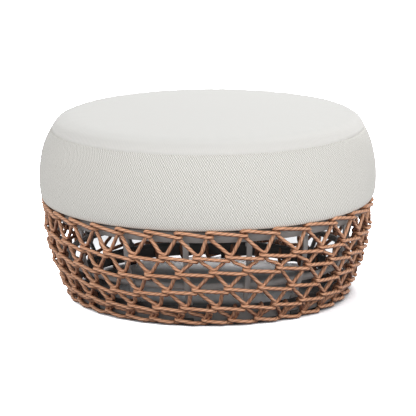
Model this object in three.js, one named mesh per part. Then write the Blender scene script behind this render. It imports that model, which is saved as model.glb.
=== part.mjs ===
// Round outdoor ottoman: a loose drum cushion on an open basket, laced from twisted strand over a metal frame.
// Millimetres, +Z up, origin on the floor under the middle. Angles run from -Y towards +X.
import * as THREE from "three";

// Gap between pieces that touch or seat on each other
const clearance = 0.3;

// Outside of the basket wall: widest just below the deck, drawn in towards the floor
const wallTopRadius = 399.5;
const wallTopDrop = 2;
const wallInset = 62;
const wallCurveShare = 2.15;

// Twisted strand and its rows: six rails, with a zigzag lace between each two
const strandDiameter = 9.4;
const strandSides = 5;
const knotsPerRow = 32;
const topRailDrop = 10;
const bottomRailHeight = 10;
const railHeightShares = [0, 0.245, 0.43, 0.607, 0.828, 1];
const railSlant = 4;
const railTurnLength = 20;
const lacePeakLength = 10;
const bottomRailHoldLength = 28;
const bottomRailBulgeLength = 16;

// Frame: rolled flat bars, a round hoop and upright ribs, with room outside them for the strand's wraps
const barThickness = 6;
const wrapRoom = 8;
const topRingHeight = 34;
const ledgeWidth = 28;
const ledgeThickness = 5;
const baseRingHeight = 36;
const hoopDiameter = 15;
const hoopHeight = 94.5;
const hoopSides = 6;
const ribCount = 16;
const ribWidth = 13;
const ribThickness = 5;
const ribStepIn = 1.5;
const ribCurveShare = 2.1;
const ribStations = 8;

// Deck under the cushion: flat slats on the ring's ledge, with two bearers below them
const deckHeight = 237;
const slatCount = 7;
const slatWidth = 40;
const slatSideRoom = 45;
const slatThickness = 5.4;
const bearerWidth = 25;
const bearerHeight = 20;
const bearerSpacing = 240;

// Clip-on glides under the base ring
const glideCount = 8;
const glideLength = 22;
const glideWall = 2;
const glideFoot = 9.2;
const glideGrip = 8;

// Cushion: foam core in a sewn cover
const cushionReach = 0.5;
const seamHeight = 398;
const seamInset = 30;
const crownRise = 50;
const coverThickness = 2.4;
const cushionSegments = 40;
const baseEdgeShare = 0.966;
const bandShares = [
  [0.983, 0.018],
  [0.993, 0.075],
  [0.998, 0.165],
  [1, 0.33],
  [0.994, 0.55],
  [0.98, 0.73],
  [0.954, 0.88],
];
const crownShares = [
  [0.982, 0.27],
  [0.954, 0.51],
  [0.89, 0.71],
  [0.72, 0.85],
  [0.42, 0.95],
];

// Zip along the foot of the cover, at the back
const zipThickness = 1.2;
const zipSteps = 12;
const zipPullWidth = 9;
const zipPullThickness = 2.5;

// Worked out from the sizes above
const strandRadius = strandDiameter / 2;
const sideReachShare = Math.sin((2 * Math.PI) / strandSides);
const innerFaceShare = Math.cos(Math.PI / strandSides);
const knotAngle = (2 * Math.PI) / knotsPerRow;
const ringSegments = 2 * knotsPerRow;
const ringFlatShare = Math.cos(Math.PI / ringSegments);
const laceDepth = strandDiameter - clearance;
const laceRise = strandRadius * sideReachShare + clearance / 2;
const lastRail = railHeightShares.length - 1;
const wallTopHeight = deckHeight - wallTopDrop;
const topRailHeight = deckHeight - topRailDrop;
const bottomKnotRadius = railRadius(lastRail) - laceDepth;
const topRingBottom = deckHeight - topRingHeight;
const topRingOuter = laceInside(0, topRingBottom) - wrapRoom;
const topRingInner = topRingOuter - barThickness;
const baseRingOuter = bottomKnotRadius - strandRadius * innerFaceShare - clearance;
const baseRingInner = baseRingOuter - barThickness;
const baseRingBottom = glideFoot + clearance;
const baseRingTop = baseRingBottom + baseRingHeight;
const ribBottom = baseRingTop + clearance;
const ribTop = topRingBottom - clearance;
const ledgeTop = deckHeight - slatThickness - clearance;
const ledgeInner = topRingInner - ledgeWidth;
const slatReach = topRingInner * ringFlatShare - clearance;
const slatPitch = (2 * (slatReach - slatSideRoom) - slatWidth) / (slatCount - 1);
const cushionBottom = deckHeight + clearance;
const cushionRadius = wallTopRadius + cushionReach;
const seamRadius = cushionRadius - seamInset;

const metalLook = { color: 0x6f6a69, roughness: 0.5, metalness: 0.5 };
const strandLook = { color: 0x9c6a4c, roughness: 0.75, metalness: 0 };
const laceLook = { color: 0x8d5d42, roughness: 0.75, metalness: 0 };
const fabricLook = { color: 0xdedad2, roughness: 0.9, metalness: 0 };
const foamLook = { color: 0xe9e2c9, roughness: 0.95, metalness: 0 };
const glideLook = { color: 0x2b2a29, roughness: 0.6, metalness: 0 };
const zipLook = { color: 0xbdb8ae, roughness: 0.6, metalness: 0 };

function wallRadius(height) {
  const below = Math.max(1 - height / wallTopHeight, 0);
  return wallTopRadius - wallInset * Math.pow(below, wallCurveShare);
}

function railHeight(row) {
  return topRailHeight - (topRailHeight - bottomRailHeight) * railHeightShares[row];
}

function railRadius(row) {
  return wallRadius(railHeight(row)) - strandRadius;
}

function laceRadius(row) {
  return railRadius(row) - laceDepth;
}

// Radius at the inside of a lace's legs, at a height between its two rails
function laceInside(row, height) {
  const high = railHeight(row) - laceRise;
  const low = railHeight(row + 1) + laceRise;
  const fallen = (high - height) / (high - low);
  const middle = laceRadius(row) + (laceRadius(row + 1) - laceRadius(row)) * fallen;
  return middle * Math.cos(knotAngle / 4) - strandRadius * innerFaceShare;
}

function railOffset(row) {
  return (row % 2) / 2;
}

function onCircle(radius, angle, height) {
  return new THREE.Vector3(radius * Math.sin(angle), -radius * Math.cos(angle), height);
}

// Two stations, one each side of an angle, whose chord touches the circle of that radius
function pairAt(radius, angle, length, startHeight, endHeight) {
  const half = Math.atan(length / 2 / radius);
  const reach = radius / Math.cos(half);
  return [onCircle(reach, angle - half, startHeight), onCircle(reach, angle + half, endHeight)];
}

function makeMesh(name, geometry, look) {
  const mesh = new THREE.Mesh(geometry, new THREE.MeshStandardMaterial(look));
  mesh.name = name;
  return mesh;
}

function indexedGeometry(positions, faces) {
  const geometry = new THREE.BufferGeometry();
  geometry.setAttribute("position", new THREE.Float32BufferAttribute(positions, 3));
  geometry.setIndex(faces);
  geometry.computeVertexNormals();
  return geometry;
}

// Section of a strand at a station, mitred where the path turns; its first corner points out or in
function strandSection(before, here, after, facing) {
  const arriving = here.clone().sub(before).normalize();
  const leaving = after.clone().sub(here).normalize();
  const along = arriving.clone().add(leaving).normalize();
  const turn = leaving.clone().sub(arriving).normalize();
  const stretch = 1 / along.dot(arriving) - 1;
  const outward = new THREE.Vector3(here.x, here.y, 0).normalize();
  outward.addScaledVector(along, -outward.dot(along)).normalize();
  const across = along.clone().cross(outward);
  const corners = [];
  for (let side = 0; side < strandSides; side += 1) {
    const angle = (2 * Math.PI * side) / strandSides;
    const spoke = outward.clone().multiplyScalar(facing * Math.cos(angle));
    spoke.addScaledVector(across, facing * Math.sin(angle));
    spoke.addScaledVector(turn, spoke.dot(turn) * stretch);
    corners.push(here.clone().addScaledVector(spoke, strandRadius));
  }
  return corners;
}

function closedStrand(path, facing) {
  const positions = [];
  const faces = [];
  const count = path.length;
  path.forEach((here, i) => {
    const before = path[(i + count - 1) % count];
    const after = path[(i + 1) % count];
    strandSection(before, here, after, facing).forEach((corner) => positions.push(...corner));
    for (let side = 0; side < strandSides; side += 1) {
      const a = i * strandSides + side;
      const b = i * strandSides + ((side + 1) % strandSides);
      const c = ((i + 1) % count) * strandSides + side;
      const d = ((i + 1) % count) * strandSides + ((side + 1) % strandSides);
      faces.push(a, b, c, b, d, c);
    }
  });
  return indexedGeometry(positions, faces);
}

// A rail runs downhill from knot to knot and climbs back across each knot
function railPath(row) {
  const path = [];
  const height = railHeight(row);
  for (let knot = 0; knot < knotsPerRow; knot += 1) {
    const angle = (knot + railOffset(row)) * knotAngle;
    path.push(...pairAt(railRadius(row), angle, railTurnLength, height - railSlant, height + railSlant));
  }
  return path;
}

// The bottom rail is held in against the base ring at its knots and bulges out between them
function bottomRailPath() {
  const path = [];
  const height = railHeight(lastRail);
  for (let knot = 0; knot < knotsPerRow; knot += 1) {
    const angle = (knot + railOffset(lastRail)) * knotAngle;
    const middle = angle + knotAngle / 2;
    path.push(...pairAt(bottomKnotRadius, angle, bottomRailHoldLength, height, height));
    path.push(...pairAt(railRadius(lastRail), middle, bottomRailBulgeLength, height, height));
  }
  return path;
}

// A lace zigzags behind the rails from the knots of one rail to the knots of the next
function lacePath(row) {
  const path = [];
  const below = row + 1;
  const atBottom = below === lastRail;
  const peakHeight = railHeight(row) - laceRise;
  const valleyHeight = atBottom ? railHeight(below) : railHeight(below) + laceRise;
  const valleyRadius = atBottom ? railRadius(below) : laceRadius(below);
  for (let knot = 0; knot < knotsPerRow; knot += 1) {
    const angle = (knot + railOffset(row)) * knotAngle;
    const middle = angle + knotAngle / 2;
    path.push(...pairAt(laceRadius(row), angle, lacePeakLength, peakHeight, peakHeight));
    path.push(...pairAt(valleyRadius, middle, lacePeakLength, valleyHeight, valleyHeight));
  }
  return path;
}

function weave() {
  const group = new THREE.Group();
  const inward = -1;
  const outward = 1;
  for (let row = 0; row < lastRail; row += 1) {
    group.add(makeMesh("rail_strand_" + (row + 1), closedStrand(railPath(row), inward), strandLook));
  }
  const bottomRail = closedStrand(bottomRailPath(), outward);
  group.add(makeMesh("rail_strand_" + (lastRail + 1), bottomRail, strandLook));
  for (let row = 0; row < lastRail; row += 1) {
    group.add(makeMesh("lace_strand_" + (row + 1), closedStrand(lacePath(row), outward), laceLook));
  }
  return group;
}

// A ring turned from a profile of [radius, height] points round the upright axis
function turned(profile, segments) {
  const points = profile.map(([radius, height]) => new THREE.Vector2(radius, height));
  const geometry = new THREE.LatheGeometry(points, segments);
  geometry.rotateX(Math.PI / 2);
  return geometry;
}

function turnedRing(corners) {
  return turned([...corners, corners[0]], ringSegments);
}

function topRing() {
  const ledgeBottom = ledgeTop - ledgeThickness;
  return turnedRing([
    [topRingOuter, topRingBottom],
    [topRingOuter, deckHeight],
    [topRingInner, deckHeight],
    [topRingInner, ledgeTop],
    [ledgeInner, ledgeTop],
    [ledgeInner, ledgeBottom],
    [topRingInner, ledgeBottom],
    [topRingInner, topRingBottom],
  ]);
}

function baseRing() {
  return turnedRing([
    [baseRingOuter, baseRingBottom],
    [baseRingOuter, baseRingTop],
    [baseRingInner, baseRingTop],
    [baseRingInner, baseRingBottom],
  ]);
}

// Least radius of the laces' inside that a height meets
function weaveInside(height) {
  let radius = wallRadius(height);
  for (let row = 0; row < lastRail; row += 1) {
    const reach = strandRadius + laceRise;
    const reachesUp = height <= railHeight(row) + reach;
    const reachesDown = height >= railHeight(row + 1) - reach;
    if (reachesUp && reachesDown) radius = Math.min(radius, laceInside(row, height));
  }
  return radius;
}

// Outer face of the ribs, from the base ring's edge out to the top ring's edge
function ribOuter(height) {
  const risen = (height - ribBottom) / (ribTop - ribBottom);
  const low = baseRingOuter - ribStepIn;
  const high = topRingOuter - ribStepIn;
  const curve = high - (high - low) * Math.pow(1 - risen, ribCurveShare);
  return Math.min(curve, weaveInside(height) - wrapRoom);
}

function ribStationHeight(station) {
  return ribBottom + ((ribTop - ribBottom) * station) / ribStations;
}

// Corners of the hoop's section, from its middle
function hoopCorners() {
  const corners = [];
  for (let side = 0; side < hoopSides; side += 1) {
    const angle = (2 * Math.PI * side) / hoopSides;
    corners.push([(hoopDiameter / 2) * Math.cos(angle), (hoopDiameter / 2) * Math.sin(angle)]);
  }
  return corners;
}

// Radius of the hoop that just rests inside the ribs' bent inner faces
function hoopRadius() {
  const room = hoopCorners().map(([out, up]) => ribOuterChord(hoopHeight + up) - ribThickness - out);
  return Math.min(...room) - clearance;
}

function ribOuterChord(height) {
  const place = ((height - ribBottom) / (ribTop - ribBottom)) * ribStations;
  const station = Math.min(Math.max(Math.floor(place), 0), ribStations - 1);
  const low = ribOuter(ribStationHeight(station));
  const high = ribOuter(ribStationHeight(station + 1));
  return low + (high - low) * (place - station);
}

function hoopRing() {
  const radius = hoopRadius();
  return turnedRing(hoopCorners().map(([out, up]) => [radius + out, hoopHeight + up]));
}

function rib() {
  const shape = new THREE.Shape();
  shape.moveTo(ribOuter(ribBottom), ribBottom);
  for (let station = 1; station <= ribStations; station += 1) {
    const height = ribStationHeight(station);
    shape.lineTo(ribOuter(height), height);
  }
  for (let station = ribStations; station >= 0; station -= 1) {
    const height = ribStationHeight(station);
    shape.lineTo(ribOuter(height) - ribThickness, height);
  }
  shape.closePath();
  return standing(shape, ribWidth);
}

// A side view of [radius, height] points, given a width across the radius
function standing(shape, width) {
  const geometry = new THREE.ExtrudeGeometry(shape, { depth: width, bevelEnabled: false });
  geometry.translate(0, 0, -width / 2);
  geometry.rotateX(Math.PI / 2);
  return geometry;
}

function aroundFloor(mesh, turns) {
  mesh.rotation.z = 2 * Math.PI * turns - Math.PI / 2;
  return mesh;
}

function ribs() {
  const group = new THREE.Group();
  for (let i = 0; i < ribCount; i += 1) {
    const name = "rib_" + String(i + 1).padStart(2, "0");
    group.add(aroundFloor(makeMesh(name, rib(), metalLook), i / ribCount));
  }
  return group;
}

// Half the chord left at a distance from the middle of a circle
function halfChord(radius, distance) {
  return Math.sqrt(radius * radius - distance * distance);
}

// A flat slat along X whose ends follow the top ring
function slat(centre) {
  const sides = [centre - slatWidth / 2, centre, centre + slatWidth / 2];
  const right = sides.map((y) => new THREE.Vector2(halfChord(slatReach, y), y));
  const left = sides.map((y) => new THREE.Vector2(-halfChord(slatReach, y), y));
  const shape = new THREE.Shape([...right, ...left.reverse()]);
  const geometry = new THREE.ExtrudeGeometry(shape, { depth: slatThickness, bevelEnabled: false });
  geometry.translate(0, 0, deckHeight - slatThickness);
  return geometry;
}

function bearer() {
  const reach = ledgeInner * ringFlatShare - clearance;
  const length = 2 * halfChord(reach, (bearerSpacing + bearerWidth) / 2);
  return new THREE.BoxGeometry(bearerWidth, length, bearerHeight);
}

function deck() {
  const group = new THREE.Group();
  for (let i = 0; i < slatCount; i += 1) {
    const centre = (i - (slatCount - 1) / 2) * slatPitch;
    group.add(makeMesh("slat_" + (i + 1), slat(centre), metalLook));
  }
  const bearerTop = deckHeight - slatThickness - clearance;
  [["bearer_left", -1], ["bearer_right", 1]].forEach(([name, side]) => {
    const mesh = makeMesh(name, bearer(), metalLook);
    mesh.position.set((side * bearerSpacing) / 2, 0, bearerTop - bearerHeight / 2);
    group.add(mesh);
  });
  return group;
}

// A glide's end view: a foot below the base ring's bar, with a lip up each side of it
function glide() {
  const flatDrop = (glideLength / 2) * Math.tan(Math.PI / ringSegments);
  const slotOuter = baseRingOuter + clearance;
  const slotInner = baseRingInner - flatDrop - clearance;
  const lipTop = glideFoot + glideGrip;
  const shape = new THREE.Shape();
  shape.moveTo(slotInner - glideWall, 0);
  shape.lineTo(slotOuter + glideWall, 0);
  shape.lineTo(slotOuter + glideWall, lipTop);
  shape.lineTo(slotOuter, lipTop);
  shape.lineTo(slotOuter, glideFoot);
  shape.lineTo(slotInner, glideFoot);
  shape.lineTo(slotInner, lipTop);
  shape.lineTo(slotInner - glideWall, lipTop);
  shape.closePath();
  return standing(shape, glideLength);
}

function glides() {
  const group = new THREE.Group();
  for (let i = 0; i < glideCount; i += 1) {
    const mesh = makeMesh("glide_" + (i + 1), glide(), glideLook);
    group.add(aroundFloor(mesh, i / glideCount));
  }
  return group;
}

function frame() {
  const group = new THREE.Group();
  group.add(makeMesh("top_ring", topRing(), metalLook));
  group.add(makeMesh("hoop_ring", hoopRing(), metalLook));
  group.add(makeMesh("base_ring", baseRing(), metalLook));
  group.add(ribs(), deck(), glides());
  return group;
}

// Outside of the cushion from the middle of its base, up the side and over the crown
function cushionOutline() {
  const sideHeight = seamHeight - cushionBottom;
  const outline = [[0, cushionBottom], [cushionRadius * baseEdgeShare, cushionBottom]];
  bandShares.forEach(([out, up]) => outline.push([cushionRadius * out, cushionBottom + sideHeight * up]));
  outline.push([seamRadius, seamHeight]);
  crownShares.forEach(([out, up]) => outline.push([seamRadius * out, seamHeight + crownRise * up]));
  outline.push([0, seamHeight + crownRise]);
  return outline;
}

const baseEdge = 1;
const seamPoint = bandShares.length + 2;

// The same outline, moved in by a depth square to itself
function insetOutline(outline, depth) {
  const last = outline.length - 1;
  return outline.map(([radius, height], i) => {
    if (i === 0) return [0, height + depth];
    if (i === last) return [0, height - depth];
    const [before, after] = [outline[i - 1], outline[i + 1]];
    const first = new THREE.Vector2(radius - before[0], height - before[1]).normalize();
    const second = new THREE.Vector2(after[0] - radius, after[1] - height).normalize();
    const along = first.clone().add(second).normalize();
    const inward = depth / along.dot(first);
    return [radius - along.y * inward, height + along.x * inward];
  });
}

function towards(from, to, length) {
  const gap = Math.hypot(to[0] - from[0], to[1] - from[1]);
  return from.map((value, i) => value + ((to[i] - value) * length) / gap);
}

// One panel of the cover, between two points of the outline, a clearance short of its neighbours
function coverPanel(start, end) {
  const outer = cushionOutline();
  const inner = insetOutline(outer, coverThickness);
  const sides = [outer, inner].map((line) => {
    const part = line.slice(start, end + 1);
    const last = part.length - 1;
    const first = start === 0 ? part[0] : towards(part[0], part[1], clearance / 2);
    const final = end === line.length - 1 ? part[last] : towards(part[last], part[last - 1], clearance / 2);
    return [first, ...part.slice(1, last), final];
  });
  const loop = [...sides[0], ...sides[1].reverse()];
  return turned([...loop, loop[0]], cushionSegments);
}

function cushionCore() {
  return turned(insetOutline(cushionOutline(), coverThickness + clearance), cushionSegments);
}

// A strip lying on the foot of the cover, between two depths outside it, through a row of angles
function footStrip(nearDepth, farDepth, angles, reachShare) {
  const outline = cushionOutline();
  const near = insetOutline(outline, -nearDepth).slice(baseEdge + 2, baseEdge + 4);
  const far = insetOutline(outline, -farDepth).slice(baseEdge + 2, baseEdge + 4);
  const loop = [...far, ...near.reverse()];
  const positions = [];
  const faces = [];
  angles.forEach((angle) => {
    loop.forEach(([radius, height]) => positions.push(...onCircle(radius * reachShare, angle, height)));
  });
  for (let step = 0; step < angles.length - 1; step += 1) {
    loop.forEach((_, side) => {
      const a = step * loop.length + side;
      const b = step * loop.length + ((side + 1) % loop.length);
      faces.push(a, a + loop.length, b, b, a + loop.length, b + loop.length);
    });
  }
  const end = (angles.length - 1) * loop.length;
  faces.push(0, 1, 2, 0, 2, 3, end, end + 2, end + 1, end, end + 3, end + 2);
  return indexedGeometry(positions, faces);
}

function zipAngle(step) {
  return Math.PI + (2 * Math.PI * (step - zipSteps / 2)) / cushionSegments;
}

function zipTape() {
  const angles = [];
  for (let step = 0; step <= zipSteps; step += 1) angles.push(zipAngle(step));
  return footStrip(clearance, clearance + zipThickness, angles, 1);
}

// The pull lies flat on the last stretch of the tape
function zipPull() {
  const half = Math.atan(zipPullWidth / 2 / cushionRadius);
  const middle = zipAngle(zipSteps - 0.5);
  const near = clearance + zipThickness + clearance;
  const reachShare = Math.cos(Math.PI / cushionSegments) / Math.cos(half);
  return footStrip(near, near + zipPullThickness, [middle - half, middle + half], reachShare);
}

function cushion() {
  const last = cushionOutline().length - 1;
  const group = new THREE.Group();
  group.add(makeMesh("cushion_core", cushionCore(), foamLook));
  group.add(makeMesh("cover_base", coverPanel(0, baseEdge), fabricLook));
  group.add(makeMesh("cover_band", coverPanel(baseEdge, seamPoint), fabricLook));
  group.add(makeMesh("cover_top", coverPanel(seamPoint, last), fabricLook));
  group.add(makeMesh("zip_tape", zipTape(), zipLook));
  group.add(makeMesh("zip_pull", zipPull(), metalLook));
  return group;
}

const ottoman = new THREE.Group();
ottoman.add(frame(), weave(), cushion());
export default ottoman;
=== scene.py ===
import math
import random
import bmesh
import bpy
import numpy as np
from mathutils import Matrix, Vector, kdtree, noise


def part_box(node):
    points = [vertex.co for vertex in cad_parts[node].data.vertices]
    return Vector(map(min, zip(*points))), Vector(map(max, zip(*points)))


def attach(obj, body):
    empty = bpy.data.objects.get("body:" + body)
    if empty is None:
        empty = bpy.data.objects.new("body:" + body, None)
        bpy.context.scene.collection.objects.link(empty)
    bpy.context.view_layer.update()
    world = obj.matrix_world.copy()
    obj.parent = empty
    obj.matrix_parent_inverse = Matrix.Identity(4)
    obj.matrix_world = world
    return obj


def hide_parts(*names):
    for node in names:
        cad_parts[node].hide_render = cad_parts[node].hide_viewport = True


# Round outdoor ottoman: drum cushion on a basket laced from twisted strand over a metal frame.
# Metres, +Z up. Angles run from -Y towards +X. Tables marked mm are in millimetres.

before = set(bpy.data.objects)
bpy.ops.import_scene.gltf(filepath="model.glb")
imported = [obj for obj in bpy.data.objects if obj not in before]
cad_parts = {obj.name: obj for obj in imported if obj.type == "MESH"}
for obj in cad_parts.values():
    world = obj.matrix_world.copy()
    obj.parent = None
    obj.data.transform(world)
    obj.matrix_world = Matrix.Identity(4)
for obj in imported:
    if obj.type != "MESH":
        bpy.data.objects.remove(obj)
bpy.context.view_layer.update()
mm = 0.001
fullTurn = 2 * math.pi
# Radius of the wall about half way up
wallReach = 0.38
fineDetail = 3.0


def onCircle(radius, angle, height):
    return Vector((radius * math.sin(angle), -radius * math.cos(angle), height))


def addObject(name, data):
    thing = bpy.data.objects.new(name, data)
    bpy.context.scene.collection.objects.link(thing)
    return thing


def evaluated(thing):
    return thing.evaluated_get(bpy.context.evaluated_depsgraph_get())


# Mesh of an object as its modifiers leave it. The object itself is removed.
def bakedMesh(thing):
    bpy.context.view_layer.update()
    mesh = bpy.data.meshes.new_from_object(evaluated(thing))
    bpy.data.objects.remove(thing)
    return mesh


def middleOf(node):
    low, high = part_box(node)
    return (low + high) / 2


# Camera, lights and floor. The floor's tones, seen by the camera and given by Y, are painted shade and light,
# and each lean turns a distance into a share.
view = {
    "azimuth": 7.9, "elevation": 12.44, "distance": 5.25, "lens": 189,
    "target": (0, 0, 0.21), "aimDown": 0.00764, "aimRight": 0.00043, "roll": -0.0083,
}
stage = {
    "floorSize": 40, "floorTone": 0.75, "skyShown": 1.0, "skyLight": 0.6,
    "shadeReach": 0.35, "shadeEdge": 0.03, "shadeTint": (0.98, 1, 1.03),
    "inside": [
        (-0.4, 0.15), (-0.135, 0.16), (-0.112, 0.5), (-0.09, 0.85), (-0.06, 0.95), (-0.02, 0.8), (0.02, 0.5),
        (0.06, 0.36), (0.14, 0.36), (0.18, 0.5), (0.22, 1.3), (0.26, 3.2), (0.3, 5.0), (0.8, 4.2),
    ],
    "outside": [(-0.4, 4.2), (0.8, 4.2)],
    "behind": [(0.3, 1.7), (0.36, 1.5), (0.42, 1.2), (0.5, 1.0), (0.7, 0.9), (0.78, 4.2), (0.8, 4.2)],
    "insideLean": (0.17, 0.25, 1, 0.4), "outsideLean": (-0.4, 0.3, 2.3, 0.47),
    "behindLean": (0.36, 0.40, 1, 0),
    "lamps": [
        {"name": "key", "place": (1.1, -2.4, 3.0), "size": 2.2, "power": 38},
        {"name": "back", "place": (0.3, 2.3, 2.9), "size": 1.3, "power": 53},
        {"name": "left", "place": (-2.8, -2.0, 1.3), "size": 2.2, "power": 23},
        {"name": "right", "place": (2.8, -1.8, 1.3), "size": 2.2, "power": 21},
    ],
}


def makeCamera():
    turn, rise = math.radians(view["azimuth"]), math.radians(view["elevation"])
    back = Vector((math.sin(turn) * math.cos(rise), -math.cos(turn) * math.cos(rise), math.sin(rise)))
    right = Vector((math.cos(turn), math.sin(turn), 0))
    up = back.cross(right)
    target = Vector(view["target"])
    place = target + back * view["distance"]
    aim = target - up * view["aimDown"] + right * view["aimRight"]
    data = bpy.data.cameras.new("camera")
    data.lens = view["lens"]
    camera = addObject("camera", data)
    turned = (aim - place).to_track_quat("-Z", "Y").to_matrix().to_4x4()
    camera.matrix_world = Matrix.Translation(place) @ turned @ Matrix.Rotation(view["roll"], 4, "Z")
    bpy.context.scene.camera = camera


def newMaterial(name, viewColor):
    material = bpy.data.materials.new(name)
    material.use_nodes = True
    material.diffuse_color = (*viewColor, 1)
    material.node_tree.nodes.clear()
    return material, material.node_tree


def surface(name, look, color=None):
    color = color or look["tone"]
    material, tree = newMaterial(name, color)
    output = tree.nodes.new("ShaderNodeOutputMaterial")
    shader = tree.nodes.new("ShaderNodeBsdfPrincipled")
    shader.inputs["Base Color"].default_value = (*color, 1)
    shader.inputs["Roughness"].default_value = look["roughness"]
    shader.inputs["Specular IOR Level"].default_value = look["specular"]
    shader.inputs["Metallic"].default_value = look.get("metallic", 0)
    tree.links.new(shader.outputs[0], output.inputs["Surface"])
    return material, tree, shader


def placeOn(tree):
    return tree.nodes.new("ShaderNodeTexCoord").outputs["Object"]


def attributeOn(tree, name):
    attribute = tree.nodes.new("ShaderNodeAttribute")
    attribute.attribute_name = name
    return attribute.outputs


def partsOn(tree, value):
    parts = tree.nodes.new("ShaderNodeSeparateXYZ")
    tree.links.new(value, parts.inputs[0])
    return parts.outputs


def noiseOn(tree, coordinates, scale=1.0, detail=2.0, stretch=(1, 1, 1)):
    mapping = tree.nodes.new("ShaderNodeMapping")
    mapping.inputs["Scale"].default_value = stretch
    grain = tree.nodes.new("ShaderNodeTexNoise")
    grain.inputs["Scale"].default_value = scale
    grain.inputs["Detail"].default_value = detail
    tree.links.new(coordinates, mapping.inputs["Vector"])
    tree.links.new(mapping.outputs[0], grain.inputs["Vector"])
    return grain.outputs["Fac"]


def rampOn(tree, value, stops):
    ramp = tree.nodes.new("ShaderNodeValToRGB")
    while len(ramp.color_ramp.elements) < len(stops):
        ramp.color_ramp.elements.new(0.5)
    for element, (place, color) in zip(ramp.color_ramp.elements, stops):
        element.position = place
        element.color = (*color, 1)
    tree.links.new(value, ramp.inputs["Fac"])
    return ramp.outputs["Color"]


def mixOn(tree, kind, factor, first, second):
    mix = tree.nodes.new("ShaderNodeMix")
    mix.data_type = "RGBA"
    mix.blend_type = kind
    if isinstance(factor, float):
        mix.inputs["Factor"].default_value = factor
    else:
        tree.links.new(factor, mix.inputs["Factor"])
    for socket, value in (("A", first), ("B", second)):
        if isinstance(value, tuple):
            mix.inputs[socket].default_value = (*value, 1)
        else:
            tree.links.new(value, mix.inputs[socket])
    return mix.outputs["Result"]


def mathOn(tree, kind, first, second=0.0, third=0.5, clamp=False):
    node = tree.nodes.new("ShaderNodeMath")
    node.operation = kind
    node.use_clamp = clamp
    for socket, value in zip(node.inputs, (first, second, third)):
        if isinstance(value, (int, float)):
            socket.default_value = value
        else:
            tree.links.new(value, socket)
    return node.outputs[0]


def vectorOn(tree, kind, first, second=None):
    node = tree.nodes.new("ShaderNodeVectorMath")
    node.operation = kind
    tree.links.new(first, node.inputs[0])
    if isinstance(second, tuple):
        node.inputs[1].default_value = second
    elif kind == "SCALE":
        tree.links.new(second, node.inputs["Scale"])
    elif second is not None:
        tree.links.new(second, node.inputs[1])
    return node.outputs["Value" if kind in ("LENGTH", "DOT_PRODUCT") else "Vector"]


# Share of a value between two limits, turned into a number between two others
def leanOn(tree, value, lean):
    slope = tree.nodes.new("ShaderNodeMapRange")
    for socket, number in zip(("From Min", "From Max", "To Min", "To Max"), lean):
        slope.inputs[socket].default_value = number
    tree.links.new(value, slope.inputs["Value"])
    return slope.outputs["Result"]


# Noise that tints the colour, by the look's scale, share and tint of one name
def tintOn(tree, color, coordinates, look, name):
    change = noiseOn(tree, coordinates, look[name + "Scale"])
    share = mathOn(tree, "MULTIPLY", change, look[name + "Share"])
    return mixOn(tree, "MULTIPLY", share, color, look[name])


# Links a surface's colour, and its relief from a height
def coverWith(tree, shader, color, height, look):
    tree.links.new(color, shader.inputs["Base Color"])
    bump = tree.nodes.new("ShaderNodeBump")
    bump.inputs["Strength"].default_value = look["bump"]
    bump.inputs["Distance"].default_value = look["bumpHeight"]
    tree.links.new(height, bump.inputs["Height"])
    tree.links.new(bump.outputs[0], shader.inputs["Normal"])


# Painted shade and light on the floor, in the tone that the camera sees: it is darker under the basket and
# behind it, lighter at the back inside it, and lighter to the left than to the right in front of it
def shadeOn(tree):
    place = placeOn(tree)
    parts = partsOn(tree, place)
    low, high = stage["inside"][0][0], stage["inside"][-1][0]
    across = leanOn(tree, parts["Y"], (low, high, 0, 1))
    # Measured across the line of sight, which stands a few degrees off -Y
    turn = math.tan(math.radians(view["azimuth"]))
    sideways = mathOn(tree, "ADD", parts["X"], mathOn(tree, "MULTIPLY", parts["Y"], turn))
    sideways = mathOn(tree, "ABSOLUTE", sideways)
    far = mathOn(tree, "GREATER_THAN", parts["Y"], stage["insideLean"][0])
    nearLean = leanOn(tree, parts["X"], stage["outsideLean"])
    leans = {
        "inside": leanOn(tree, sideways, stage["insideLean"]),
        "outside": mathOn(tree, "MAXIMUM", nearLean, far),
    }
    tones = {}
    for side in ("inside", "outside", "behind"):
        stops = [
            ((where - low) / (high - low), tuple(tone * part for part in stage["shadeTint"]))
            for where, tone in stage[side]
        ]
        tones[side] = rampOn(tree, across, stops)
        if side in leans:
            tones[side] = vectorOn(tree, "SCALE", tones[side], leans[side])
    # Painted shade behind the basket, where the floor is seen only through the weave
    behind = mathOn(tree, "MULTIPLY", far, leanOn(tree, sideways, stage["behindLean"]))
    outside = mixOn(tree, "MIX", behind, tones["outside"], tones["behind"])
    reach = vectorOn(tree, "LENGTH", place)
    edge = leanOn(tree, reach, (stage["shadeReach"] - stage["shadeEdge"], stage["shadeReach"], 0, 1))
    return mixOn(tree, "MIX", edge, tones["inside"], outside)


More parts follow.
